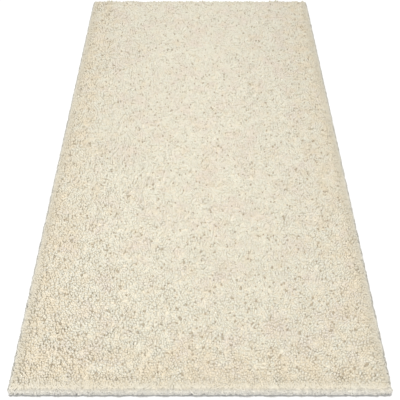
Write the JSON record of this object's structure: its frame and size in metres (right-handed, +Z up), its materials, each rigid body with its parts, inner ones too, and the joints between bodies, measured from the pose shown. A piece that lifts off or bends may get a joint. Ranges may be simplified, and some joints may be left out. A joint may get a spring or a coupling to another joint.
{
  "type": "shag rug",
  "caption": "Rectangular cream shag rug that lies flat on a floor: deep soft pile over a woven ground, with locks of yarn spilling over all its edges.",
  "frame": {"origin": "middle of the underside, on the floor", "axes": "+Y along the rug's length, +X across its width, +Z up out of the pile"},
  "size_m": [0.8284, 1.5285, 0.035],
  "materials": {
    "pile_yarn": "matte cream heat-set pile yarn, slightly twisted, with paler tips and warmer shade between the tufts",
    "ground_cloth": "matte plain-woven beige ground cloth with a stitched hem, seen from below only"
  },
  "bodies": {
    "root": {"rug": "pile_yarn"}
  },
  "joints": []
}
